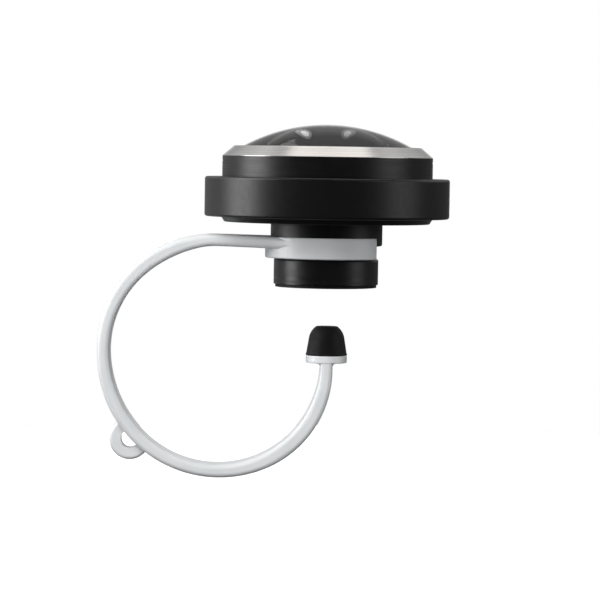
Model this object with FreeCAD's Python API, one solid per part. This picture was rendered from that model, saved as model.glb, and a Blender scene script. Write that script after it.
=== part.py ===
import FreeCAD, Part
import math
import os

# Clip-on wide-angle lens for a phone, in millimetres.
# The origin is the centre of the seat that lies on the phone. +Z runs up the lens axis to the
# domed glass, and the clip's loop lies in the XZ plane on the -X side.

Vec = FreeCAD.Vector
UP = Vec(0, 0, 1)
ACROSS = Vec(0, 1, 0)

# Gaps between pieces
RUNNING_GAP = 0.08
GLASS_GAP = 0.08
FACE_GAP = 0.05

# Seat base: flange, threaded tube, soft pad and its own small lens
TUBE_RADIUS = 8.0
TUBE_ABOVE_RING_FLOOR = 2.1
BASE_FLANGE = 1.4
BASE_TOP = 5.17
BASE_EDGE_ROUND = 0.45
LIGHT_BORE_RADIUS = 4.4
REAR_LENS_SEAT = 0.6
REAR_LENS_CURVE = 11.0
REAR_LENS_FLAT_HEIGHT = 1.7
REAR_LENS_THICKNESS = 2.65
REAR_RETAINER_THICKNESS = 0.8
REAR_RETAINER_WALL = 0.9
PAD_THICKNESS = 0.8
PAD_PROUD = 0.5
PAD_EDGE_MARGIN = 0.3
PAD_INNER_MARGIN = 1.2

# Ring of the clip
RING_WALL = 0.87
RING_HEIGHT = 3.8
RING_FLAT_WALL = 0.82
RING_EDGE_ROUND = 0.3
NECK_SEAT_DEPTH = 1.5

# Spring band of the clip
BAND_WIDTH = 7.2
BAND_THICKNESS = 2.1
BAND_EDGE_ROUND = 0.85
ARM_TILT = 1.3
ARM_MID_BELOW_RING_TOP = 0.8
ARM_LENGTH = 19.5
ARM_ROOT_REACH = 6.0
ARM_FLARE_LEAD = 2.4
ARM_NOSE_PROUD = 0.03
# Radius of the band's middle line and angle of each arc after the arm, as they shape the band's outer
# and inner faces. The two differ, so that the band is thicker than the arm and thickest low on its free
# side. The radii are scaled together so that the inner face ends at the platform's underside. Its last
# arc, and the last two of the outer face, follow from where the stem stands.
LOOP_OUTER_ARCS = ((19.87, 84.1), (22.75, 23.7))
LOOP_OUTER_LOW_SWEEP = 95.7
LOOP_INNER_ARCS = ((13.5, 14.8), (24.2, 27.8), (19.1, 52.1), (22.3, 43.8))
STEM_REACH = 0.32
STEM_THICKNESS = 2.25
STEM_OUTER_LAND = 1.31
STEM_GUSSET = 0.8

# Eyelet on the outside of the band
EYELET_TURN = 135.1
EYELET_PROUD = 0.25
EYELET_RADIUS = 3.7
EYELET_HOLE_RADIUS = 1.6
EYELET_WIDTH = 3.2
EYELET_EDGE_ROUND = 0.6

# Foot that presses on the phone, and the round platform that carries it
PHONE_THICKNESS = 7.1
FOOT_HEIGHT = 5.2
FOOT_BASE_RADIUS = 3.65
FOOT_TAPER = 0.45
FOOT_SHOULDER_DROP = 2.1
FOOT_SHOULDER_WIDTH = 1.3
FOOT_LIP = 0.12
FOOT_LIP_HEIGHT = 0.35
PLATFORM_MARGIN = 0.05
PLATFORM_THICKNESS = 1.35
PEG_RADIUS = 1.3
PEG_HEIGHT = 2.6

# Neck that screws onto the tube
NECK_WALL = 1.97
NECK_HEIGHT = 4.05
NECK_EDGE_ROUND = 0.35
NECK_WEB = 0.35
TUBE_END_GAP = 0.3
NECK_SPIGOT_WALL = 2.05
NECK_SPIGOT_HEIGHT = 2.7

# Barrel
BARREL_WALL = 1.27
BARREL_HEIGHT = 11.8
BARREL_FLOOR = 3.1
BARREL_LIP_PROUD = 0.15
BARREL_LIP_TAPER = 0.6
BARREL_LIP_EDGE_ROUND = 0.2
BARREL_GROOVE_BELOW_RIM = 0.7
BARREL_GROOVE_WIDTH = 0.25
BARREL_GROOVE_DEPTH = 0.06
FRONT_SEAT_HEIGHT = 8.7

# Grip ring round the barrel
GRIP_WALL = 3.1
GRIP_HEIGHT = 7.15
GRIP_ABOVE_BARREL_FOOT = 0.95
GRIP_EDGE_ROUND = 0.45
GRIP_TOP_CHAMFER = 0.25

# Bezel ring
BEZEL_HEIGHT = 1.85
BEZEL_BEVEL = 2.1
BEZEL_FOOT_LAND = 0.06
BEZEL_EDGE_ROUND = 0.18
BEZEL_LIP_THICKNESS = 0.4
BEZEL_LIP_GAP = 0.18
BEZEL_THREAD_WALL = 0.97
BEZEL_THREAD_LENGTH = 1.7

# Front glass
DOME_CURVE = 31.0
DOME_TOP_ABOVE_BEZEL = 3.95
DOME_RADIUS = 15.2
DOME_STEP = 1.3
DOME_CENTRE_THICKNESS = 2.2
DOME_SEAT_WIDTH = 4.5
SEAL_THICKNESS = 0.4

# Second lens and the ring that spaces it from the front glass
SECOND_RADIUS = 12.5
SECOND_CURVE = 22.0
SECOND_CENTRE_THICKNESS = 1.6
SECOND_BACK_CURVE = 7.6
SECOND_BACK_REACH = 6.8
SPACER_WALL = 1.7

# Cemented pair in the neck, its retainer and the stop above them
PAIR_RADIUS = 6.0
THIRD_CURVE = 12.0
THIRD_THICKNESS = 2.9
CEMENT_CURVE = 22.0
FOURTH_CENTRE_THICKNESS = 0.5
PAIR_RETAINER_WALL = 1.1
STOP_THICKNESS = 0.3
STOP_HOLE_RADIUS = 2.4

# Radii that follow from the sizes above
BASE_RADIUS = TUBE_RADIUS + BASE_FLANGE
REAR_LENS_RADIUS = LIGHT_BORE_RADIUS + REAR_LENS_SEAT
REAR_RETAINER_BORE = REAR_LENS_RADIUS - REAR_RETAINER_WALL
PAD_OUTER_RADIUS = BASE_RADIUS - PAD_EDGE_MARGIN
PAD_INNER_RADIUS = REAR_LENS_RADIUS + PAD_INNER_MARGIN
RING_BORE = TUBE_RADIUS + RUNNING_GAP
NECK_RADIUS = RING_BORE + NECK_WALL
NECK_SEAT_BORE = NECK_RADIUS + RUNNING_GAP
RING_RADIUS = NECK_SEAT_BORE + RING_WALL
RING_FLAT_REACH = RING_BORE + RING_FLAT_WALL
FOOT_SHOULDER_RADIUS = FOOT_BASE_RADIUS - FOOT_TAPER
FOOT_TIP_RADIUS = FOOT_SHOULDER_RADIUS - FOOT_SHOULDER_WIDTH
PLATFORM_RADIUS = FOOT_BASE_RADIUS + PLATFORM_MARGIN
PAIR_BORE = PAIR_RADIUS + FACE_GAP
PAIR_RETAINER_BORE = PAIR_RADIUS - PAIR_RETAINER_WALL
NECK_SPIGOT_RADIUS = PAIR_BORE + NECK_SPIGOT_WALL
INNER_BORE = SECOND_RADIUS + 2 * FACE_GAP
SPACER_BORE = SECOND_RADIUS - SPACER_WALL
DOME_FLANGE_RADIUS = DOME_RADIUS + DOME_STEP
DOME_BACK_REACH = DOME_FLANGE_RADIUS - DOME_SEAT_WIDTH
DOME_BORE = DOME_FLANGE_RADIUS + GLASS_GAP
BEZEL_THREAD_RADIUS = DOME_BORE + BEZEL_THREAD_WALL
BEZEL_LIP_BORE = DOME_RADIUS + BEZEL_LIP_GAP
BARREL_THREAD_BORE = BEZEL_THREAD_RADIUS + GLASS_GAP
BARREL_RADIUS = BARREL_THREAD_BORE + BARREL_WALL
BEZEL_TOP_RADIUS = BARREL_RADIUS - BEZEL_BEVEL
GRIP_RADIUS = BARREL_RADIUS + GRIP_WALL

# Heights that follow from the sizes above
RING_BOTTOM = BASE_TOP
RING_TOP = RING_BOTTOM + RING_HEIGHT
NECK_BOTTOM = RING_TOP - NECK_SEAT_DEPTH
TUBE_TOP = NECK_BOTTOM + TUBE_ABOVE_RING_FLOOR
BARREL_BOTTOM = NECK_BOTTOM + NECK_HEIGHT
BARREL_FLOOR_TOP = BARREL_BOTTOM + BARREL_FLOOR
GRIP_BOTTOM = BARREL_BOTTOM + GRIP_ABOVE_BARREL_FOOT
FRONT_SEAT = BARREL_BOTTOM + FRONT_SEAT_HEIGHT
BARREL_TOP = BARREL_BOTTOM + BARREL_HEIGHT
BEZEL_TOP = BARREL_TOP + BEZEL_HEIGHT
DOME_TOP = BEZEL_TOP + DOME_TOP_ABOVE_BEZEL
FOOT_TOP = -PHONE_THICKNESS
PLATFORM_TOP = FOOT_TOP - FOOT_HEIGHT
PLATFORM_BOTTOM = PLATFORM_TOP - PLATFORM_THICKNESS
SPIGOT_TOP = BARREL_BOTTOM + NECK_SPIGOT_HEIGHT
PAIR_SEAT = TUBE_TOP + TUBE_END_GAP + NECK_WEB


def corner_arc(before, corner, after, rounding):
    """The arc that rounds a corner, as its start, middle and end."""
    back = (before - corner).normalize()
    ahead = (after - corner).normalize()
    half = back.getAngle(ahead) / 2
    bisector = (back + ahead).normalize()
    cut = rounding / math.tan(half)
    centre = corner + bisector * (rounding / math.sin(half))
    return corner + back * cut, centre - bisector * rounding, corner + ahead * cut


def closed_outline(corners):
    """A closed wire through (x, z, rounding) corners in the XZ plane."""
    points = [Vec(x, 0, z) for x, z, rounding in corners]
    edges = []
    ends = []
    for i, (x, z, rounding) in enumerate(corners):
        here = points[i]
        if rounding > 0:
            start, middle, end = corner_arc(points[i - 1], here, points[(i + 1) % len(points)], rounding)
            edges.append(Part.Arc(start, middle, end).toShape())
            ends.append((start, end))
        else:
            ends.append((here, here))
    for i, (start, end) in enumerate(ends):
        following = ends[(i + 1) % len(ends)][0]
        edges.append(Part.LineSegment(end, following).toShape())
    return Part.Wire(Part.__sortEdges__(edges))


def turned(corners):
    """A solid of revolution about the lens axis from (radius, height, rounding) corners."""
    return Part.Face(closed_outline(corners)).revolve(Vec(0, 0, 0), UP, 360)


def ring_solid(inner, outer, bottom, top):
    """A plain ring with square edges."""
    return turned([(inner, bottom, 0), (outer, bottom, 0), (outer, top, 0), (inner, top, 0)])


def sag(curve, reach):
    """How far a spherical surface falls away at a distance from its vertex. A negative curve rises."""
    return math.copysign(abs(curve) - math.sqrt(curve * curve - reach * reach), curve)


def optical_edge(vertex, curve, start, end):
    """The half section of one polished surface between two distances from the axis."""
    points = [Vec(r, 0, vertex - sag(curve, r)) for r in (start, (start + end) / 2, end)]
    return Part.Arc(*points).toShape()


def lens_solid(front, rim, back):
    """A lens from its front and back surfaces, (vertex, curve, reach), and the rim's corners between them."""
    front_edge = optical_edge(front[0], front[1], 0, front[2])
    corners = [Vec(front[2], 0, front[0] - sag(front[1], front[2]))]
    corners += [Vec(radius, 0, height) for radius, height in rim]
    if back[1]:
        back_edge = optical_edge(back[0], back[1], 0, back[2])
        corners.append(Vec(back[2], 0, back[0] - sag(back[1], back[2])))
    else:
        back_edge = None
        corners.append(Vec(0, 0, back[0]))
    edges = [front_edge]
    edges += [Part.LineSegment(a, b).toShape() for a, b in zip(corners, corners[1:])]
    if back_edge:
        edges.append(back_edge)
    edges.append(Part.LineSegment(Vec(0, 0, back[0]), Vec(0, 0, front[0])).toShape())
    face = Part.Face(Part.Wire(Part.__sortEdges__(edges)))
    return face.revolve(Vec(0, 0, 0), UP, 360)


def seat_pad():
    """Soft ring glued in the base's recess, so that the metal never touches the phone."""
    return ring_solid(PAD_INNER_RADIUS, PAD_OUTER_RADIUS, 0, PAD_THICKNESS)


def rear_mount():
    """Base turned in one piece: flange under the clip's ring, and the threaded tube through it."""
    flange_bottom = PAD_PROUD
    lens_vertex = REAR_LENS_FLAT_HEIGHT + REAR_LENS_THICKNESS
    cell_top = lens_vertex - sag(REAR_LENS_CURVE, LIGHT_BORE_RADIUS) + FACE_GAP
    cell_bore = REAR_LENS_RADIUS + GLASS_GAP
    body = turned([
        (cell_bore, flange_bottom, 0),
        (BASE_RADIUS, flange_bottom, 0.1),
        (BASE_RADIUS, BASE_TOP, BASE_EDGE_ROUND),
        (TUBE_RADIUS, BASE_TOP, 0),
        (TUBE_RADIUS, TUBE_TOP, 0.2),
        (LIGHT_BORE_RADIUS, TUBE_TOP, 0),
        (LIGHT_BORE_RADIUS, cell_top, 0),
        (cell_bore, cell_top, 0),
    ])
    recess = ring_solid(PAD_INNER_RADIUS - FACE_GAP, PAD_OUTER_RADIUS + FACE_GAP, -PAD_THICKNESS, PAD_THICKNESS)
    return body.cut(recess)


def rear_lens():
    """Flat to convex lens in the base."""
    vertex = REAR_LENS_FLAT_HEIGHT + REAR_LENS_THICKNESS
    rim = [(REAR_LENS_RADIUS, REAR_LENS_FLAT_HEIGHT)]
    return lens_solid((vertex, REAR_LENS_CURVE, REAR_LENS_RADIUS), rim, (REAR_LENS_FLAT_HEIGHT, 0, 0))


def rear_lens_retainer():
    """Thin ring that holds the rear lens in the base."""
    bottom = REAR_LENS_FLAT_HEIGHT - REAR_RETAINER_THICKNESS
    return ring_solid(REAR_RETAINER_BORE, REAR_LENS_RADIUS, bottom, REAR_LENS_FLAT_HEIGHT)


def rear_neck():
    """Neck with a threaded socket for the tube below and the cell of the cemented pair above."""
    web_bottom = TUBE_TOP + TUBE_END_GAP
    return turned([
        (RING_BORE, NECK_BOTTOM, 0.15),
        (NECK_RADIUS, NECK_BOTTOM, NECK_EDGE_ROUND),
        (NECK_RADIUS, BARREL_BOTTOM, 0),
        (NECK_SPIGOT_RADIUS, BARREL_BOTTOM, 0),
        (NECK_SPIGOT_RADIUS, SPIGOT_TOP, 0),
        (PAIR_BORE, SPIGOT_TOP, 0),
        (PAIR_BORE, PAIR_SEAT, 0),
        (LIGHT_BORE_RADIUS, PAIR_SEAT, 0),
        (LIGHT_BORE_RADIUS, web_bottom, 0),
        (RING_BORE, web_bottom, 0),
    ])


def fourth_lens():
    """Lower half of the cemented pair, flat below and hollow above."""
    bottom = PAIR_SEAT
    vertex = bottom + FOURTH_CENTRE_THICKNESS
    return lens_solid((vertex, -CEMENT_CURVE, PAIR_RADIUS), [(PAIR_RADIUS, bottom)], (bottom, 0, 0))


def third_lens():
    """Upper half of the cemented pair, bulging on both sides."""
    back_vertex = PAIR_SEAT + FOURTH_CENTRE_THICKNESS
    front_vertex = back_vertex + THIRD_THICKNESS
    return lens_solid((front_vertex, THIRD_CURVE, PAIR_RADIUS), [], (back_vertex, -CEMENT_CURVE, PAIR_RADIUS))


def pair_retainer():
    """Threaded ring that holds the cemented pair in the neck."""
    front_vertex = PAIR_SEAT + FOURTH_CENTRE_THICKNESS + THIRD_THICKNESS
    rim_height = front_vertex - sag(THIRD_CURVE, PAIR_RADIUS)
    bore_height = front_vertex - sag(THIRD_CURVE, PAIR_RETAINER_BORE)
    return turned([
        (PAIR_RETAINER_BORE, bore_height + FACE_GAP, 0),
        (PAIR_RADIUS, rim_height + FACE_GAP, 0),
        (PAIR_RADIUS, SPIGOT_TOP - FACE_GAP, 0),
        (PAIR_RETAINER_BORE + 0.3, SPIGOT_TOP - FACE_GAP, 0),
        (PAIR_RETAINER_BORE, SPIGOT_TOP - 0.4, 0),
    ])


def aperture_stop():
    """Blackened disc with a small hole that lies on the neck's spigot."""
    return ring_solid(STOP_HOLE_RADIUS, NECK_SPIGOT_RADIUS - FACE_GAP, SPIGOT_TOP, SPIGOT_TOP + STOP_THICKNESS)


def front_barrel():
    """Turned cup: floor on the neck, lip under the grip ring, seats for the lenses, groove under the rim."""
    groove_top = BARREL_TOP - BARREL_GROOVE_BELOW_RIM
    groove_bottom = groove_top - BARREL_GROOVE_WIDTH
    groove_radius = BARREL_RADIUS - BARREL_GROOVE_DEPTH
    thread_floor = BARREL_TOP - BEZEL_THREAD_LENGTH - 0.1
    lip_radius = BARREL_RADIUS + BARREL_LIP_PROUD
    spigot_bore = NECK_SPIGOT_RADIUS + FACE_GAP
    return turned([
        (spigot_bore, BARREL_BOTTOM, 0),
        (lip_radius - BARREL_LIP_TAPER, BARREL_BOTTOM, BARREL_LIP_EDGE_ROUND),
        (lip_radius, GRIP_BOTTOM, 0),
        (BARREL_RADIUS, GRIP_BOTTOM, 0),
        (BARREL_RADIUS, groove_bottom, 0),
        (groove_radius, groove_bottom, 0),
        (groove_radius, groove_top, 0),
        (BARREL_RADIUS, groove_top, 0),
        (BARREL_RADIUS, BARREL_TOP, 0.08),
        (BARREL_THREAD_BORE, BARREL_TOP, 0),
        (BARREL_THREAD_BORE, thread_floor, 0),
        (DOME_BORE, thread_floor, 0),
        (DOME_BORE, FRONT_SEAT, 0),
        (INNER_BORE, FRONT_SEAT, 0),
        (INNER_BORE, BARREL_FLOOR_TOP, 0),
        (spigot_bore, BARREL_FLOOR_TOP, 0),
    ])


def grip_ring():
    """Plain collar glued round the barrel, on its lip."""
    bore = BARREL_RADIUS + FACE_GAP
    top = GRIP_BOTTOM + GRIP_HEIGHT
    return turned([
        (bore, GRIP_BOTTOM, 0),
        (GRIP_RADIUS, GRIP_BOTTOM, GRIP_EDGE_ROUND),
        (GRIP_RADIUS, top, GRIP_EDGE_ROUND),
        (bore + GRIP_TOP_CHAMFER, top, 0),
        (bore, top - GRIP_TOP_CHAMFER, 0),
    ])


def second_lens_vertices():
    """Heights of the second lens's back and front vertex above its seat on the barrel's floor."""
    back = BARREL_FLOOR_TOP + sag(SECOND_BACK_CURVE, SECOND_BACK_REACH)
    return back, back + SECOND_CENTRE_THICKNESS


def second_lens():
    """Second lens, a steep meniscus that stands on the barrel's floor."""
    back, front = second_lens_vertices()
    rim = [(SECOND_RADIUS, BARREL_FLOOR_TOP)]
    return lens_solid((front, SECOND_CURVE, SECOND_RADIUS), rim, (back, SECOND_BACK_CURVE, SECOND_BACK_REACH))


def front_spacer_ring():
    """Blackened ring between the second lens and the front glass."""
    vertex = second_lens_vertices()[1]
    return turned([
        (SPACER_BORE, vertex - sag(SECOND_CURVE, SPACER_BORE) + FACE_GAP, 0),
        (SECOND_RADIUS, vertex - sag(SECOND_CURVE, SECOND_RADIUS) + FACE_GAP, 0),
        (SECOND_RADIUS, FRONT_SEAT, 0),
        (SPACER_BORE, FRONT_SEAT, 0),
    ])


def front_dome_lens():
    """Front glass: shallow dome outside, deep hollow inside, ground step for the bezel's lip."""
    step = BEZEL_TOP - BEZEL_LIP_THICKNESS - SEAL_THICKNESS
    back_vertex = DOME_TOP - DOME_CENTRE_THICKNESS
    depth = back_vertex - FRONT_SEAT
    back_curve = (DOME_BACK_REACH ** 2 + depth ** 2) / (2 * depth)
    rim = [(DOME_RADIUS, step), (DOME_FLANGE_RADIUS, step), (DOME_FLANGE_RADIUS, FRONT_SEAT)]
    return lens_solid((DOME_TOP, DOME_CURVE, DOME_RADIUS), rim, (back_vertex, back_curve, DOME_BACK_REACH))


def dome_seal_ring():
    """Flat rubber ring between the step of the front glass and the bezel's lip."""
    bottom = BEZEL_TOP - BEZEL_LIP_THICKNESS - SEAL_THICKNESS
    return ring_solid(DOME_RADIUS + FACE_GAP, DOME_FLANGE_RADIUS, bottom, bottom + SEAL_THICKNESS)


def bezel_ring():
    """Bevelled ring that screws into the barrel and holds the front glass."""
    lip_under = BEZEL_TOP - BEZEL_LIP_THICKNESS
    thread_foot = BARREL_TOP - BEZEL_THREAD_LENGTH
    return turned([
        (DOME_BORE, thread_foot, 0),
        (BEZEL_THREAD_RADIUS, thread_foot, 0.1),
        (BEZEL_THREAD_RADIUS, BARREL_TOP, 0),
        (BARREL_RADIUS, BARREL_TOP, 0),
        (BARREL_RADIUS, BARREL_TOP + BEZEL_FOOT_LAND, 0),
        (BEZEL_TOP_RADIUS, BEZEL_TOP, BEZEL_EDGE_ROUND),
        (BEZEL_LIP_BORE, BEZEL_TOP, 0.1),
        (BEZEL_LIP_BORE, lip_under, 0),
        (DOME_BORE, lip_under, 0),
    ])


def arm_middle(reach):
    """Mid height of the straight arm at a distance from the lens axis."""
    root = RING_TOP - ARM_MID_BELOW_RING_TOP
    return root + (reach - ARM_LENGTH) * math.tan(math.radians(ARM_TILT))


def arm_end(half):
    """Where one face of the arm ends, half a thickness inside the middle line, and the heading there."""
    heading = math.radians(180 - ARM_TILT)
    x = -ARM_LENGTH - half * math.sin(heading)
    z = arm_middle(ARM_LENGTH) + half * math.cos(heading)
    return Vec(x, 0, z), heading


def loop_scale():
    """Factor on the loop's given radii with which its inner face ends at the platform's underside."""
    half = BAND_THICKNESS / 2
    start, heading = arm_end(half)
    gap_x = STEM_REACH - STEM_THICKNESS / 2 - start.x
    gap_z = PLATFORM_BOTTOM - start.z
    sum_x = 0
    sum_z = 0
    for radius, sweep in LOOP_INNER_ARCS:
        following = heading + math.radians(sweep)
        step_x = math.sin(following) - math.sin(heading)
        step_z = math.cos(heading) - math.cos(following)
        gap_x += half * step_x
        gap_z += half * step_z
        sum_x += radius * step_x
        sum_z += radius * step_z
        heading = following
    last_x = 1 - math.sin(heading)
    last_z = math.cos(heading)
    return (gap_x * last_z - gap_z * last_x) / (sum_x * last_z - sum_z * last_x)


def chain(point, heading, turns):
    """Arcs that follow one another by (radius, sweep): centre x, centre z, radius, heading at both ends."""
    arcs = []
    for radius, sweep in turns:
        centre_x = point.x - radius * math.sin(heading)
        centre_z = point.z + radius * math.cos(heading)
        arcs.append((centre_x, centre_z, radius, heading, heading + math.radians(sweep)))
        heading = arcs[-1][4]
        point = point_on(arcs[-1], heading)
    return arcs


def two_closing_arcs(point, end, heading, sweep, whole_sweep):
    """Radius and sweep of two arcs, the first of a given sweep, that end upright at a given point."""
    between = heading + math.radians(sweep)
    first_x = math.sin(between) - math.sin(heading)
    first_z = math.cos(heading) - math.cos(between)
    second_x = 1 - math.sin(between)
    second_z = math.cos(between)
    gap = end - point
    share = first_x * second_z - first_z * second_x
    first = (gap.x * second_z - gap.z * second_x) / share
    second = (first_x * gap.z - first_z * gap.x) / share
    return [(first, sweep), (second, whole_sweep - sweep)]


def loop_face_arcs(side):
    """All the arcs down the band's inner (+1) or outer (-1) face."""
    half = side * BAND_THICKNESS / 2
    start, heading = arm_end(half)
    scale = loop_scale()
    given = LOOP_INNER_ARCS if side > 0 else LOOP_OUTER_ARCS
    arcs = chain(start, heading, [(scale * radius - half, sweep) for radius, sweep in given])
    heading = arcs[-1][4]
    point = point_on(arcs[-1], heading)
    rest = 270 + ARM_TILT - sum(sweep for radius, sweep in given)
    end_x = STEM_REACH - side * STEM_THICKNESS / 2
    if side > 0:
        closing = [((end_x - point.x) / (1 - math.sin(heading)), rest)]
    else:
        end = Vec(end_x, 0, PLATFORM_BOTTOM - STEM_OUTER_LAND)
        closing = two_closing_arcs(point, end, heading, LOOP_OUTER_LOW_SWEEP, rest)
    return arcs + chain(point, heading, closing)


def point_on(arc, heading):
    """The point of an arc where the band runs in that heading."""
    return Vec(arc[0] + arc[2] * math.sin(heading), 0, arc[1] - arc[2] * math.cos(heading))


def arc_edge(arc):
    """An arc of the band as an edge."""
    start, end = arc[3], arc[4]
    return Part.Arc(*[point_on(arc, h) for h in (start, (start + end) / 2, end)]).toShape()


def band_face():
    """Side outline of arm, loop and stem as one face."""
    outer = loop_face_arcs(-1)
    inner = loop_face_arcs(1)
    tilt = math.radians(ARM_TILT)
    to_root = Vec(math.cos(tilt), 0, -math.sin(tilt)) * ((ARM_LENGTH - ARM_ROOT_REACH) / math.cos(tilt))
    outer_arm = point_on(outer[0], outer[0][3])
    inner_arm = point_on(inner[0], inner[0][3])
    outer_stem = point_on(outer[-1], outer[-1][4])
    inner_stem = point_on(inner[-1], inner[-1][4])
    stem_end = PLATFORM_BOTTOM + PLATFORM_THICKNESS / 2
    corners = [outer_stem, Vec(outer_stem.x, 0, stem_end), Vec(inner_stem.x, 0, stem_end), inner_stem]
    root = [inner_arm, inner_arm + to_root, outer_arm + to_root, outer_arm]
    edges = [arc_edge(arc) for arc in outer + inner]
    for line in (corners, root):
        edges += [Part.LineSegment(a, b).toShape() for a, b in zip(line, line[1:])]
    return Part.Face(Part.Wire(Part.__sortEdges__(edges)))


def extruded_across(face, width):
    """A face in the XZ plane as a solid of that width, centred on the plane."""
    moved = face.copy()
    moved.translate(ACROSS * (-width / 2))
    return moved.extrude(ACROSS * width)


def plan_limit():
    """Plan outline of the band: straight sides that flare to run along the ring's round wall."""
    half = BAND_WIDTH / 2
    meet = RING_RADIUS + ARM_NOSE_PROUD
    centre_x = -(ARM_LENGTH + ARM_FLARE_LEAD)
    flare = (centre_x ** 2 + half ** 2 - meet ** 2) / (2 * (meet - half))
    centre_y = -(half + flare)
    share = meet / (meet + flare)
    touch = Vec(centre_x * share, centre_y * share, 0)
    middle_angle = (math.pi / 2 + math.atan2(touch.y - centre_y, touch.x - centre_x)) / 2
    middle = Vec(centre_x + flare * math.cos(middle_angle), centre_y + flare * math.sin(middle_angle), 0)
    far = -4 * RING_RADIUS - BAND_WIDTH
    start = Vec(centre_x, -half, 0)
    mirrored = [Vec(p.x, -p.y, 0) for p in (start, middle, touch)]
    edges = [
        Part.LineSegment(Vec(far, -half, 0), start).toShape(),
        Part.Arc(start, middle, touch).toShape(),
        Part.LineSegment(touch, Vec(0, 0, 0)).toShape(),
        Part.LineSegment(Vec(0, 0, 0), mirrored[2]).toShape(),
        Part.Arc(mirrored[2], mirrored[1], mirrored[0]).toShape(),
        Part.LineSegment(mirrored[0], Vec(far, half, 0)).toShape(),
        Part.LineSegment(Vec(far, half, 0), Vec(far, -half, 0)).toShape(),
    ]
    upper = Part.Face(Part.Wire(Part.__sortEdges__(edges))).extrude(UP * (2 * RING_TOP))
    lower = Part.makeBox(-far + RING_RADIUS, BAND_WIDTH, 6 * RING_TOP, Vec(far, -half, -6 * RING_TOP))
    return upper.fuse(lower).removeSplitter()


def long_side_edges(solid, shortest):
    """Edges that run along the band's two sides."""
    found = []
    for edge in solid.Edges:
        middle = edge.valueAt((edge.FirstParameter + edge.LastParameter) / 2)
        if abs(middle.y) > BAND_WIDTH / 2 - 0.01 and edge.Length > shortest:
            found.append(edge)
    return found


def spring_band():
    """Arm, loop and stem with rounded edges, which stay within half of the band's thickness."""
    wide = extruded_across(band_face(), 2 * RING_RADIUS)
    band = wide.common(plan_limit()).removeSplitter()
    rounding = min(BAND_EDGE_ROUND, 0.45 * BAND_THICKNESS)
    return band.makeFillet(rounding, long_side_edges(band, 1.4 * BAND_THICKNESS))


def stem_gusset():
    """Small fillets that carry the stem into the platform, trimmed to the platform's round edge."""
    x = STEM_REACH
    half = STEM_THICKNESS / 2 - FACE_GAP
    base = PLATFORM_BOTTOM + 0.3
    low = PLATFORM_BOTTOM - STEM_GUSSET
    turn = STEM_GUSSET * (1 - math.sqrt(0.5))
    edges = []
    for side in (-1, 1):
        foot = Vec(x + side * (half - 0.2), 0, low)
        start = Vec(x + side * half, 0, low)
        middle = Vec(x + side * (half + turn), 0, PLATFORM_BOTTOM - turn)
        end = Vec(x + side * (half + STEM_GUSSET), 0, PLATFORM_BOTTOM)
        top = Vec(end.x, 0, base)
        edges.append(Part.LineSegment(foot, start).toShape())
        edges.append(Part.Arc(start, middle, end).toShape())
        edges.append(Part.LineSegment(end, top).toShape())
    edges.append(Part.LineSegment(Vec(x - half + 0.2, 0, low), Vec(x + half - 0.2, 0, low)).toShape())
    left = x - half - STEM_GUSSET
    right = x + half + STEM_GUSSET
    edges.append(Part.LineSegment(Vec(left, 0, base), Vec(right, 0, base)).toShape())
    gusset = extruded_across(Part.Face(Part.Wire(Part.__sortEdges__(edges))), BAND_WIDTH)
    inside = Part.makeCylinder(PLATFORM_RADIUS - BAND_EDGE_ROUND, 3 * STEM_GUSSET, Vec(STEM_REACH, 0, low - 0.1))
    return gusset.common(inside)


def platform():
    """Round platform under the foot, with the peg that the foot is pushed on."""
    disc = Part.makeCylinder(PLATFORM_RADIUS, PLATFORM_THICKNESS, Vec(STEM_REACH, 0, PLATFORM_BOTTOM))
    disc = disc.makeFillet(0.2, [e for e in disc.Edges if e.Curve.TypeId == "Part::GeomCircle"])
    peg = Part.makeCylinder(PEG_RADIUS, PEG_HEIGHT, Vec(STEM_REACH, 0, PLATFORM_TOP))
    return disc.fuse(peg)


def eyelet():
    """Half ring on the band's outside for a strap."""
    heading = math.radians(180 - ARM_TILT + EYELET_TURN)
    here = [arc for arc in loop_face_arcs(-1) if arc[3] <= heading <= arc[4]][0]
    inward = Vec(-math.sin(heading), 0, math.cos(heading))
    along = Vec(math.cos(heading), 0, math.sin(heading))
    centre = point_on(here, heading) - inward * EYELET_PROUD
    face_y = -EYELET_WIDTH / 2
    start = Vec(centre.x, face_y, centre.z)
    body = Part.makeCylinder(EYELET_RADIUS, EYELET_WIDTH, start, ACROSS)
    body = body.makeFillet(EYELET_EDGE_ROUND, [e for e in body.Edges if e.Curve.TypeId == "Part::GeomCircle"])
    hole = Part.makeCylinder(EYELET_HOLE_RADIUS, EYELET_WIDTH, start, ACROSS)
    keep_depth = EYELET_PROUD + BAND_THICKNESS / 2
    size = 3 * EYELET_RADIUS
    corner = centre + inward * keep_depth - along * (size / 2) - ACROSS * (size / 2)
    block = Part.makeBox(size, size, size)
    block.Placement = FreeCAD.Placement(corner, FreeCAD.Rotation(along, ACROSS, inward, "XYZ"))
    return body.cut(hole).cut(block)


def clip_ring():
    """Ring of the clip with a flat on the side away from the loop."""
    ring = turned([
        (RING_BORE, RING_BOTTOM, 0.1),
        (RING_RADIUS, RING_BOTTOM, RING_EDGE_ROUND),
        (RING_RADIUS, RING_TOP, 0.15),
        (RING_BORE, RING_TOP, 0),
    ])
    beyond = Part.makeBox(
        RING_RADIUS, 3 * RING_RADIUS, 2 * RING_HEIGHT, Vec(RING_FLAT_REACH, -1.5 * RING_RADIUS, RING_BOTTOM - 1)
    )
    return ring.cut(beyond)


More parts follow.
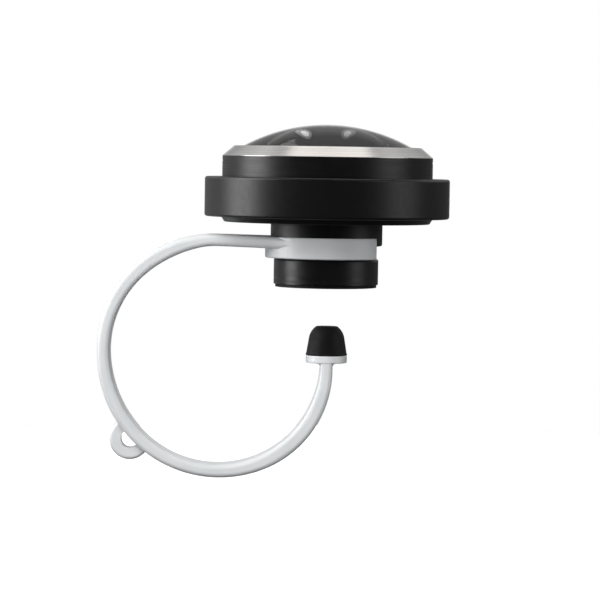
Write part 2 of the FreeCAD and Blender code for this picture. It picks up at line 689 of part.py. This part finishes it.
def clip_moulding():
    """The whole clip, moulded in one piece: ring, arm, loop, eyelet, stem and platform."""
    clip = spring_band()
    for piece in (clip_ring(), stem_gusset(), platform(), eyelet()):
        clip = clip.fuse(piece)
    bore = Part.makeCylinder(RING_BORE, 3 * RING_HEIGHT, Vec(0, 0, RING_BOTTOM - RING_HEIGHT))
    seat = Part.makeCylinder(NECK_SEAT_BORE, 3 * RING_HEIGHT, Vec(0, 0, NECK_BOTTOM))
    return clip.cut(bore).cut(seat).removeSplitter()


def rubber_foot():
    """Domed soft foot with a blind socket for the platform's peg."""
    shoulder = FOOT_TOP - FOOT_SHOULDER_DROP
    socket = PEG_RADIUS + FACE_GAP
    ceiling = PLATFORM_TOP + PEG_HEIGHT + FACE_GAP
    lip = FOOT_BASE_RADIUS + FOOT_LIP
    tip = Vec(FOOT_TIP_RADIUS, 0, FOOT_TOP)
    side = Vec(FOOT_SHOULDER_RADIUS, 0, shoulder)
    bulge = Vec(
        FOOT_TIP_RADIUS + (FOOT_SHOULDER_RADIUS - FOOT_TIP_RADIUS) * 0.61,
        0,
        shoulder + FOOT_SHOULDER_DROP * 0.61,
    )
    points = [
        side,
        Vec(FOOT_BASE_RADIUS, 0, PLATFORM_TOP + FOOT_LIP_HEIGHT),
        Vec(lip, 0, PLATFORM_TOP + FOOT_LIP_HEIGHT / 2),
        Vec(FOOT_BASE_RADIUS, 0, PLATFORM_TOP),
        Vec(socket, 0, PLATFORM_TOP),
        Vec(socket, 0, ceiling),
        Vec(0, 0, ceiling),
        Vec(0, 0, FOOT_TOP),
        tip,
    ]
    edges = [Part.LineSegment(a, b).toShape() for a, b in zip(points, points[1:])]
    edges.append(Part.Arc(tip, bulge, side).toShape())
    foot = Part.Face(Part.Wire(Part.__sortEdges__(edges))).revolve(Vec(0, 0, 0), UP, 360)
    foot.translate(Vec(STEM_REACH, 0, 0))
    return foot


PIECES = (
    clip_moulding,
    rubber_foot,
    seat_pad,
    rear_mount,
    rear_lens,
    rear_lens_retainer,
    rear_neck,
    fourth_lens,
    third_lens,
    pair_retainer,
    aperture_stop,
    front_barrel,
    grip_ring,
    second_lens,
    front_spacer_ring,
    front_dome_lens,
    dome_seal_ring,
    bezel_ring,
)

os.makedirs("parts", exist_ok=True)
for make in PIECES:
    shape = make()
    name = make.__name__
    shape.exportStep(os.path.join("parts", name + ".step"))
    print(name, "solids", len(shape.Solids), "valid", shape.isValid(), "mm3", round(shape.Volume, 2))
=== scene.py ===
import bpy
import bmesh
import math
from mathutils import Vector, Matrix


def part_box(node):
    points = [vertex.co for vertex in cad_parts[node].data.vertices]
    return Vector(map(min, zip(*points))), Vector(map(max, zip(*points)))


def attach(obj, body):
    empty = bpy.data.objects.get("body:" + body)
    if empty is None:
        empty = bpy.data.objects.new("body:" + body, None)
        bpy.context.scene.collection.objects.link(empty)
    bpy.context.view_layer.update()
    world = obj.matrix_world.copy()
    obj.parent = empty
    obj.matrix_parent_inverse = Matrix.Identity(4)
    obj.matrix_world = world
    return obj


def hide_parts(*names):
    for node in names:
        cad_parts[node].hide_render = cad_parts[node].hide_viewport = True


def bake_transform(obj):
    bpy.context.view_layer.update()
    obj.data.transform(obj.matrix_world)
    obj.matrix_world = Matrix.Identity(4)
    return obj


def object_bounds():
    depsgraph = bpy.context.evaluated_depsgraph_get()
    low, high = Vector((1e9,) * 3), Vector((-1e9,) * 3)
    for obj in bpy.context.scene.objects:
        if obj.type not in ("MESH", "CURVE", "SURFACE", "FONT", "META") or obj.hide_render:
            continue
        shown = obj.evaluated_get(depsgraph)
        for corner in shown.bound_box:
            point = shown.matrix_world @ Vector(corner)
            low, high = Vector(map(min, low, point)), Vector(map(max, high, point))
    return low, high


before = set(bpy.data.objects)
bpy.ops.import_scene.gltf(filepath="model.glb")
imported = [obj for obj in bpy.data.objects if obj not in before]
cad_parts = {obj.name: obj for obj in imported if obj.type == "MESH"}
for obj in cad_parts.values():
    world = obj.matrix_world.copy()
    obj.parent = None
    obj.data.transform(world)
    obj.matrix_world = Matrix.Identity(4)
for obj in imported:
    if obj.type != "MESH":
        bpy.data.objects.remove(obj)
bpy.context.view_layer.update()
scene = bpy.context.scene
MM = 0.001

# The photograph's scale on the lens axis, where its centre falls on the part, and the camera that took it
MM_PER_PIXEL = 0.18
PHOTO_WIDTH_PIXELS = 600
PHOTO_CENTRE = Vector((-4.58, 0.0, -2.45)) * MM
EYE_LEVEL = 22.8 * MM
CAMERA_DISTANCE = 520 * MM
ROLL = math.radians(0.9)
SENSOR_WIDTH_MM = 36

# Sizes in millimetres of what the materials' patterns draw
RESIN_FLOW = 8.0
SINK_MARKS = 3.5
MOULD_POLISH = 1.3
MOULD_GRAIN = 0.17          # too fine to show: drawn coarser than it is
LATHE_FEED = 0.42           # really about 0.1 a turn: drawn coarser, so that the rings show
FINE_LATHE_FEED = 0.15      # the sharp tool's, drawn a little coarser
DYE_PATCHES = 4.0
ETCH_PITS = 0.08            # too fine to show: drawn coarser than they are
BLAST_PITS = 0.09
FINGER_WEAR = 0.8
SILICONE_BLOOM = 1.7
SILICONE_SKIN = 0.11
PAINT_GRAIN = 0.08          # too fine to show: drawn coarser than it is
COATING_PATCHES = 3.0
ACRYLIC_HAZE = 60.0

FLOOR_RADIUS_MM = 150
FLOOR_DROP_MM = 4.5         # under the loop, which swings down when the clip is held open
FLOOR_EVEN_SHARE = 0.3      # of its radius, past which it glows more and more

STRIP_OFFSET_MM = 70        # to each side of the lens axis
STRIP_GLOW_SHARE = 0.4      # of the core's brightness


# Colours and nodes

def srgb(code):
    """A hex colour as linear values with alpha."""
    code = code.lstrip("#")
    linear = []
    for i in (0, 2, 4):
        c = int(code[i:i + 2], 16) / 255
        linear.append(c / 12.92 if c <= 0.04045 else ((c + 0.055) / 1.055) ** 2.4)
    return (*linear, 1.0)


def add(tree, kind, inputs=None, **settings):
    """A node with its settings. Each input is a value, or the socket that it is linked to."""
    node = tree.nodes.new(kind)
    for name, value in settings.items():
        setattr(node, name, value)
    for name, value in (inputs or {}).items():
        if isinstance(value, bpy.types.NodeSocket):
            tree.links.new(value, node.inputs[name])
        else:
            node.inputs[name].default_value = value
    return node


# Blender's noise keeps nearly all of its values between these two
SPREAD = {"From Min": 0.35, "From Max": 0.65}

# The Mix node's sockets share their names, so they are found by number
MIX_SHARE = 0
MIX_FIRST_COLOUR = 6
MIX_SECOND_COLOUR = 7
MIX_RESULT = 2


def new_finish(name):
    """A material and its empty tree."""
    material = bpy.data.materials.new(name)
    material.use_nodes = True
    tree = material.node_tree
    tree.nodes.clear()
    return material, tree


def place_in_mm(tree):
    """Each point's place on the part in millimetres."""
    point = add(tree, "ShaderNodeTexCoord")
    place = add(tree, "ShaderNodeVectorMath", {
        0: point.outputs["Object"], "Scale": 1 / MM,
    }, operation="SCALE")
    return place.outputs["Vector"]


def tone(tree, pattern, dark, pale):
    """A colour that follows a pattern between two hex colours."""
    share = add(tree, "ShaderNodeMapRange", {"Value": pattern, **SPREAD})
    mixed = add(tree, "ShaderNodeMix", {
        MIX_SHARE: share.outputs["Result"],
        MIX_FIRST_COLOUR: srgb(dark),
        MIX_SECOND_COLOUR: srgb(pale),
    }, data_type="RGBA")
    return mixed.outputs[MIX_RESULT]


def turned_rings(tree, place, feed_mm):
    """Marks of a lathe tool: they change only along the section, not round the axis."""
    along = add(tree, "ShaderNodeSeparateXYZ", {"Vector": place})
    flat = add(tree, "ShaderNodeCombineXYZ", {"X": along.outputs["X"], "Y": along.outputs["Y"]})
    radius = add(tree, "ShaderNodeVectorMath", {0: flat.outputs["Vector"]}, operation="LENGTH")
    section = add(tree, "ShaderNodeCombineXYZ", {"X": radius.outputs["Value"], "Y": along.outputs["Z"]})
    rings = add(tree, "ShaderNodeTexNoise", {"Vector": section.outputs["Vector"], "Scale": 1 / feed_mm},
                noise_dimensions="2D")
    return rings.outputs["Fac"]


# Materials

def moulded_polycarbonate():
    """White polycarbonate from a polished mould: a bright body under a soft satin gloss."""
    material, tree = new_finish("moulded_white_polycarbonate")
    place = place_in_mm(tree)
    flow = add(tree, "ShaderNodeTexNoise", {"Vector": place, "Scale": 1 / RESIN_FLOW})
    polish = add(tree, "ShaderNodeTexNoise", {"Vector": place, "Scale": 1 / MOULD_POLISH})
    gloss = add(tree, "ShaderNodeMapRange", {
        "Value": polish.outputs["Fac"], **SPREAD, "To Min": 0.36, "To Max": 0.44,
    })
    sink = add(tree, "ShaderNodeTexNoise", {"Vector": place, "Scale": 1 / SINK_MARKS, "Detail": 0.0})
    grain = add(tree, "ShaderNodeTexNoise", {"Vector": place, "Scale": 1 / MOULD_GRAIN, "Detail": 3.0})
    hollows = add(tree, "ShaderNodeBump", {"Height": sink.outputs["Fac"], "Distance": 0.008 * MM})
    relief = add(tree, "ShaderNodeBump", {
        "Height": grain.outputs["Fac"], "Distance": 0.00015 * MM, "Normal": hollows.outputs["Normal"],
    })
    shader = add(tree, "ShaderNodeBsdfPrincipled", {
        "Base Color": tone(tree, flow.outputs["Fac"], "#E2E5E7", "#E9EBEC"),
        "Roughness": gloss.outputs["Result"],
        "IOR": 1.585,
        "Normal": relief.outputs["Normal"],
    })
    add(tree, "ShaderNodeOutputMaterial", {"Surface": shader.outputs["BSDF"]})
    return material


def turned_anodised(name, roughness):
    """Aluminium turned and anodised black: the dye hides the metal, and fine rings break up reflections."""
    material, tree = new_finish(name)
    place = place_in_mm(tree)
    rings = turned_rings(tree, place, LATHE_FEED)
    swing = 0.045
    gloss = add(tree, "ShaderNodeMapRange", {
        "Value": rings, **SPREAD, "To Min": roughness - swing, "To Max": roughness + swing,
    })
    dye = add(tree, "ShaderNodeTexNoise", {"Vector": place, "Scale": 1 / DYE_PATCHES})
    pits = add(tree, "ShaderNodeTexNoise", {"Vector": place, "Scale": 1 / ETCH_PITS})
    ridges = add(tree, "ShaderNodeBump", {"Height": rings, "Distance": 0.0012 * MM})
    relief = add(tree, "ShaderNodeBump", {
        "Height": pits.outputs["Fac"], "Distance": 0.0004 * MM, "Normal": ridges.outputs["Normal"],
    })
    shader = add(tree, "ShaderNodeBsdfPrincipled", {
        "Base Color": tone(tree, dye.outputs["Fac"], "#070708", "#0C0C0D"),
        "Roughness": gloss.outputs["Result"],
        "Normal": relief.outputs["Normal"],
    })
    add(tree, "ShaderNodeOutputMaterial", {"Surface": shader.outputs["BSDF"]})
    return material


def blasted_anodised():
    """Aluminium bead blasted before black anodising: an even satin with a fine sparkle."""
    material, tree = new_finish("bead_blasted_black_anodised_aluminium")
    place = place_in_mm(tree)
    pits = add(tree, "ShaderNodeTexNoise", {"Vector": place, "Scale": 1 / BLAST_PITS, "Detail": 4.0})
    wear = add(tree, "ShaderNodeTexNoise", {"Vector": place, "Scale": 1 / FINGER_WEAR})
    gloss = add(tree, "ShaderNodeMapRange", {
        "Value": wear.outputs["Fac"], **SPREAD, "To Min": 0.36, "To Max": 0.41,
    })
    relief = add(tree, "ShaderNodeBump", {"Height": pits.outputs["Fac"], "Distance": 0.0018 * MM})
    shader = add(tree, "ShaderNodeBsdfPrincipled", {
        "Base Color": tone(tree, pits.outputs["Fac"], "#060607", "#0F0F10"),
        "Roughness": gloss.outputs["Result"],
        "Normal": relief.outputs["Normal"],
    })
    add(tree, "ShaderNodeOutputMaterial", {"Surface": shader.outputs["BSDF"]})
    return material


def silver_anodised():
    """Aluminium turned with a sharp tool and anodised clear: bright metal with a fine turned sheen."""
    material, tree = new_finish("clear_anodised_turned_aluminium")
    place = place_in_mm(tree)
    rings = turned_rings(tree, place, FINE_LATHE_FEED)
    gloss = add(tree, "ShaderNodeMapRange", {"Value": rings, **SPREAD, "To Min": 0.19, "To Max": 0.23})
    around = add(tree, "ShaderNodeTangent", direction_type="RADIAL", axis="Z")
    relief = add(tree, "ShaderNodeBump", {"Height": rings, "Distance": 0.0006 * MM})
    shader = add(tree, "ShaderNodeBsdfPrincipled", {
        "Base Color": tone(tree, rings, "#C7C6C5", "#D8D7D6"),
        "Metallic": 1.0,
        "Roughness": gloss.outputs["Result"],
        "Anisotropic": 0.4,
        "Tangent": around.outputs["Tangent"],
        "Normal": relief.outputs["Normal"],
    })
    add(tree, "ShaderNodeOutputMaterial", {"Surface": shader.outputs["BSDF"]})
    return material


def black_silicone():
    """Moulded silicone rubber: dull, with a faint bloom in patches."""
    material, tree = new_finish("moulded_black_silicone_rubber")
    place = place_in_mm(tree)
    bloom = add(tree, "ShaderNodeTexNoise", {"Vector": place, "Scale": 1 / SILICONE_BLOOM})
    gloss = add(tree, "ShaderNodeMapRange", {
        "Value": bloom.outputs["Fac"], **SPREAD, "To Min": 0.6, "To Max": 0.72,
    })
    skin = add(tree, "ShaderNodeTexNoise", {"Vector": place, "Scale": 1 / SILICONE_SKIN, "Detail": 4.0})
    relief = add(tree, "ShaderNodeBump", {"Height": skin.outputs["Fac"], "Distance": 0.0025 * MM})
    shader = add(tree, "ShaderNodeBsdfPrincipled", {
        "Base Color": tone(tree, bloom.outputs["Fac"], "#080809", "#0E0E0F"),
        "Roughness": gloss.outputs["Result"],
        "IOR": 1.41,
        "Normal": relief.outputs["Normal"],
    })
    add(tree, "ShaderNodeOutputMaterial", {"Surface": shader.outputs["BSDF"]})
    return material


def light_trap_paint():
    """Matt black paint inside the barrel, which swallows stray light."""
    material, tree = new_finish("matt_black_light_trap_paint")
    place = place_in_mm(tree)
    grain = add(tree, "ShaderNodeTexNoise", {"Vector": place, "Scale": 1 / PAINT_GRAIN, "Detail": 3.0})
    relief = add(tree, "ShaderNodeBump", {"Height": grain.outputs["Fac"], "Distance": 0.002 * MM})
    shader = add(tree, "ShaderNodeBsdfPrincipled", {
        "Base Color": tone(tree, grain.outputs["Fac"], "#050505", "#0B0B0B"),
        "Roughness": 0.75,
        "Normal": relief.outputs["Normal"],
    })
    add(tree, "ShaderNodeOutputMaterial", {"Surface": shader.outputs["BSDF"]})
    return material


def paint_on_glass():
    """Black paint on the ground rim of a lens: it wets the glass, so it gives no gloss from inside."""
    material, tree = new_finish("black_paint_on_ground_glass")
    shader = add(tree, "ShaderNodeBsdfPrincipled", {
        "Base Color": srgb("#060606"),
        "Roughness": 0.9,
        "Specular IOR Level": 0.0,
    })
    add(tree, "ShaderNodeOutputMaterial", {"Surface": shader.outputs["BSDF"]})
    return material


def coated_glass(name, body, sheen):
    """Polished optical glass with a thin coating that tints its reflection."""
    material, tree = new_finish(name)
    place = place_in_mm(tree)
    patches = add(tree, "ShaderNodeTexNoise", {"Vector": place, "Scale": 1 / COATING_PATCHES})
    gloss = add(tree, "ShaderNodeMapRange", {
        "Value": patches.outputs["Fac"], **SPREAD, "To Min": 0.0, "To Max": 0.02,
    })
    shader = add(tree, "ShaderNodeBsdfPrincipled", {
        "Base Color": srgb(body),
        "Roughness": gloss.outputs["Result"],
        "Transmission Weight": 1.0,
        "IOR": 1.52,
        "Specular Tint": srgb(sheen),
    })
    add(tree, "ShaderNodeOutputMaterial", {"Surface": shader.outputs["BSDF"]})
    return material


def frosted_acrylic():
    """White acrylic lit from below: an even frosted face that glows more towards its rim."""
    material, tree = new_finish("frosted_white_acrylic")
    place = place_in_mm(tree)
    haze = add(tree, "ShaderNodeTexNoise", {"Vector": place, "Scale": 1 / ACRYLIC_HAZE})
    reach = add(tree, "ShaderNodeVectorMath", {0: place}, operation="LENGTH")
    glow = add(tree, "ShaderNodeMapRange", {
        "Value": reach.outputs["Value"],
        "From Min": FLOOR_EVEN_SHARE * FLOOR_RADIUS_MM, "From Max": FLOOR_RADIUS_MM,
        "To Min": 0.6, "To Max": 0.95,
    })
    shader = add(tree, "ShaderNodeBsdfPrincipled", {
        "Base Color": tone(tree, haze.outputs["Fac"], "#F4F4F4", "#F7F7F7"),
        "Roughness": 0.9,
        "Specular IOR Level": 0.1,
        "Emission Color": srgb("#FFFFFF"),
        "Emission Strength": glow.outputs["Result"],
    })
    add(tree, "ShaderNodeOutputMaterial", {"Surface": shader.outputs["BSDF"]})
    return material


WHITE_POLYCARBONATE = moulded_polycarbonate()
TURNED = turned_anodised("turned_black_anodised_aluminium", roughness=0.38)
TURNED_MATT = turned_anodised("turned_matt_black_anodised_aluminium", roughness=0.46)
BLASTED = blasted_anodised()
SILVER = silver_anodised()
SILICONE = black_silicone()
TRAP = light_trap_paint()
PAINTED_RIM = paint_on_glass()
# The front glass's grey body dims what shows through it to what the photograph shows
# Its grey body is painted shade: a dark tint that stands in for the darker inside of the real lens
FRONT_GLASS_PAINTED_SHADE = coated_glass("coated_front_glass_painted_shade", body="#858683", sheen="#CCCCCE")
INNER_GLASS = coated_glass("coated_inner_glass", body="#F2F5F2", sheen="#B9A6C9")

FINISHES = {
    "clip_moulding": WHITE_POLYCARBONATE,
    "rubber_foot": SILICONE,
    "seat_pad": SILICONE,
    "dome_seal_ring": SILICONE,
    "rear_mount": TURNED,
    "rear_neck": TURNED_MATT,
    "front_barrel": TURNED,
    "grip_ring": BLASTED,
    "bezel_ring": SILVER,
    "rear_lens_retainer": TRAP,
    "pair_retainer": TRAP,
    "front_spacer_ring": TRAP,
    "aperture_stop": TRAP,
    "front_dome_lens": FRONT_GLASS_PAINTED_SHADE,
    "second_lens": INNER_GLASS,
    "third_lens": INNER_GLASS,
    "fourth_lens": INNER_GLASS,
    "rear_lens": INNER_GLASS,
}
for name, finish in FINISHES.items():
    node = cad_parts[name]
    node.data.materials.clear()
    node.data.materials.append(finish)


# Pieces that stand for a node

def copy_of(node_name, name):
    """A new piece with the node's own mesh, which takes the node's place."""
    piece = bpy.data.objects.new(name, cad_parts[node_name].data.copy())
    piece.data.name = name
    scene.collection.objects.link(piece)
    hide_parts(node_name)
    return piece


def bending_clip():
    """The moulding as one piece, copied from its node with its placing baked into the mesh."""
    clip = copy_of("clip_moulding", "clip_body")
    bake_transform(clip)


# The front glass's faces are told apart by the share of their normal that points along the axis
LEVEL_SHARE = 0.999
UPRIGHT_SHARE = 0.05
POLISHED_SHARE = 0.3        # of its radius: a level face nearer the axis is the middle of a polished curve


def blackened_front_glass():
    """The front glass with its ground rim and seat painted black, as they are against stray light."""
    glass = copy_of("front_dome_lens", "front_glass")
    glass.data.materials.append(PAINTED_RIM)
    painted_slot = len(glass.data.materials) - 1
    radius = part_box("front_dome_lens")[1][0]
    for face in glass.data.polygons:
        along_axis = abs(face.normal.z)
        reach = math.hypot(face.center.x, face.center.y)
        seat = along_axis > LEVEL_SHARE and reach > POLISHED_SHARE * radius
        rim = along_axis < UPRIGHT_SHARE
        if seat or rim:
            face.material_index = painted_slot
    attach(glass, "lens_head")


bending_clip()
blackened_front_glass()


# Floor, light and camera

def make_floor():
    """A small light table below the loop, whose rim glows about as brightly as the background."""
    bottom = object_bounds()[0][2]
    mesh = bpy.data.meshes.new("floor")
    work = bmesh.new()
    bmesh.ops.create_circle(work, cap_ends=True, segments=96, radius=FLOOR_RADIUS_MM * MM)
    work.to_mesh(mesh)
    work.free()
    floor = bpy.data.objects.new("floor", mesh)
    floor.location = (0, 0, bottom - FLOOR_DROP_MM * MM)
    scene.collection.objects.link(floor)
    floor.data.materials.append(frosted_acrylic())
    floor.visible_diffuse = False
    floor.visible_glossy = False


def area_light(name, place_mm, size_mm, radiance, shine=True, soft=True, shape="RECTANGLE", colour="#FFFFFF"):
    """An evenly lit softbox that faces the lens. Reflections or soft light can leave it out."""
    data = bpy.data.lights.new(name, "AREA")
    data.shape = shape
    data.color = srgb(colour)[:3]
    data.size = size_mm[0] * MM
    data.size_y = size_mm[1] * MM
    data.energy = radiance * math.pi * data.size * data.size_y
    light = bpy.data.objects.new(name, data)
    light.location = Vector(place_mm) * MM
    light.rotation_euler = (-Vector(place_mm)).to_track_quat("-Z", "Z").to_euler()
    light.visible_camera = False
    light.visible_glossy = shine
    light.visible_diffuse = soft
    scene.collection.objects.link(light)


def make_world():
    """White to look at, and for light and reflections a dim room with a pale sky behind the object."""
    world = bpy.data.worlds.new("studio")
    scene.world = world
    world.use_nodes = True
    tree = world.node_tree
    tree.nodes.clear()
    place = add(tree, "ShaderNodeTexCoord")
    way = add(tree, "ShaderNodeSeparateXYZ", {"Vector": place.outputs["Generated"]})

    # The sky: dim above the horizon, dimmest to the right, and brightest at the top
    zenith = add(tree, "ShaderNodeMapRange", {
        "Value": way.outputs["Z"], "From Min": 0.66, "From Max": 0.8, "To Min": 0.4, "To Max": 0.58,
    })
    low = add(tree, "ShaderNodeMapRange", {
        "Value": way.outputs["X"], "From Min": 0.1, "From Max": 0.5, "To Min": 0.2, "To Max": 0.06,
    })
    sky = add(tree, "ShaderNodeMapRange", {
        "Value": way.outputs["Z"], "From Min": 0.05, "From Max": 0.25,
        "To Min": low.outputs["Result"], "To Max": zenith.outputs["Result"],
    })

    # Its far left and far right are brighter than its middle
    left = add(tree, "ShaderNodeMapRange", {
        "Value": way.outputs["X"], "From Min": -0.46, "From Max": -0.32, "To Min": 1.95, "To Max": 1.0,
    })
    right = add(tree, "ShaderNodeMapRange", {
        "Value": way.outputs["X"], "From Min": 0.32, "From Max": 0.46, "To Min": 0.0, "To Max": 0.6,
    })
    sides = add(tree, "ShaderNodeMath", {
        0: left.outputs["Result"], 1: right.outputs["Result"],
    }, operation="ADD")
    far = add(tree, "ShaderNodeMapRange", {
        "Value": way.outputs["Y"], "From Min": 0.2, "From Max": 0.5,
        "To Min": 1.0, "To Max": sides.outputs["Value"],
    })
    bright = add(tree, "ShaderNodeMath", {
        0: sky.outputs["Result"], 1: far.outputs["Result"],
    }, operation="MULTIPLY")

    # Straight behind the object hangs white paper, and on the camera's side the room is nearly dark
    paper = add(tree, "ShaderNodeMapRange", {
        "Value": way.outputs["Y"], "From Min": 0.95, "From Max": 0.99,
        "To Min": bright.outputs["Value"], "To Max": 0.85,
    })
    behind = add(tree, "ShaderNodeMapRange", {"Value": way.outputs["Y"], "From Min": 0.05, "From Max": 0.4})
    strength = add(tree, "ShaderNodeMapRange", {
        "Value": behind.outputs["Result"], "To Min": 0.04, "To Max": paper.outputs["Result"],
    })
    room = add(tree, "ShaderNodeBackground", {
        "Color": srgb("#FFFFFF"), "Strength": strength.outputs["Result"],
    })

    seen = add(tree, "ShaderNodeBackground", {"Color": srgb("#FFFFFF"), "Strength": 1.0})
    ray = add(tree, "ShaderNodeLightPath")
    mixed = add(tree, "ShaderNodeMixShader", {
        0: ray.outputs["Is Camera Ray"], 1: room.outputs["Background"], 2: seen.outputs["Background"],
    })
    add(tree, "ShaderNodeOutputWorld", {"Surface": mixed.outputs["Shader"]})


def make_camera():
    """The photograph's view: far away, at the height of the bezel, and rolled by a degree."""
    data = bpy.data.cameras.new("camera")
    data.sensor_width = SENSOR_WIDTH_MM
    data.lens = SENSOR_WIDTH_MM * CAMERA_DISTANCE / (MM_PER_PIXEL * PHOTO_WIDTH_PIXELS * MM)
    data.clip_start = 0.01
    data.clip_end = 50
    camera = bpy.data.objects.new("camera", data)
    pitch = math.asin((EYE_LEVEL - PHOTO_CENTRE.z) / CAMERA_DISTANCE)
    camera.location = PHOTO_CENTRE + CAMERA_DISTANCE * Vector((0, -math.cos(pitch), math.sin(pitch)))
    level = Matrix.Rotation(math.pi / 2 - pitch, 4, "X")
    camera.rotation_euler = (level @ Matrix.Rotation(ROLL, 4, "Z")).to_euler()
    scene.collection.objects.link(camera)
    scene.camera = camera


make_floor()
make_world()
make_camera()

# Softboxes that show in the glossy faces. The one overhead lights the matt ones too.
area_light("softbox_left", place_mm=(-688, -66, 255), size_mm=(740, 440), radiance=5.9, soft=False)
area_light("softbox_right", place_mm=(640, -240, 210), size_mm=(580, 420), radiance=1.5, soft=False)
area_light("softbox_top", place_mm=(8, 150, 620), size_mm=(423, 260), radiance=1.15, colour="#FFFAF5")

# The dome's two highlights, the left one brighter: strip lights above and behind the lens, each with a
# narrow core in a wider, weaker glow
for side, radiance in ((-1, 1.35), (1, 0.72)):
    across = side * STRIP_OFFSET_MM
    glow = STRIP_GLOW_SHARE * radiance
    area_light("strip_core", (across, 700, 510), size_mm=(22, 210), radiance=radiance, shape="ELLIPSE")
    area_light("strip_glow", (across, 700, 500), size_mm=(42, 360), radiance=glow, shape="ELLIPSE")

# Soft light from the sides and the front that shows in no reflection
area_light("fill_left", place_mm=(-688, -66, 215), size_mm=(740, 440), radiance=2.8, shine=False)
area_light("fill_right", place_mm=(640, -240, 210), size_mm=(580, 420), radiance=2.4, shine=False)
area_light("fill_high", place_mm=(-200, -520, 480), size_mm=(500, 400), radiance=5.9, shine=False)
area_light("fill_low", place_mm=(-100, -650, 60), size_mm=(600, 400), radiance=2.2, shine=False)

scene.view_settings.view_transform = "Standard"
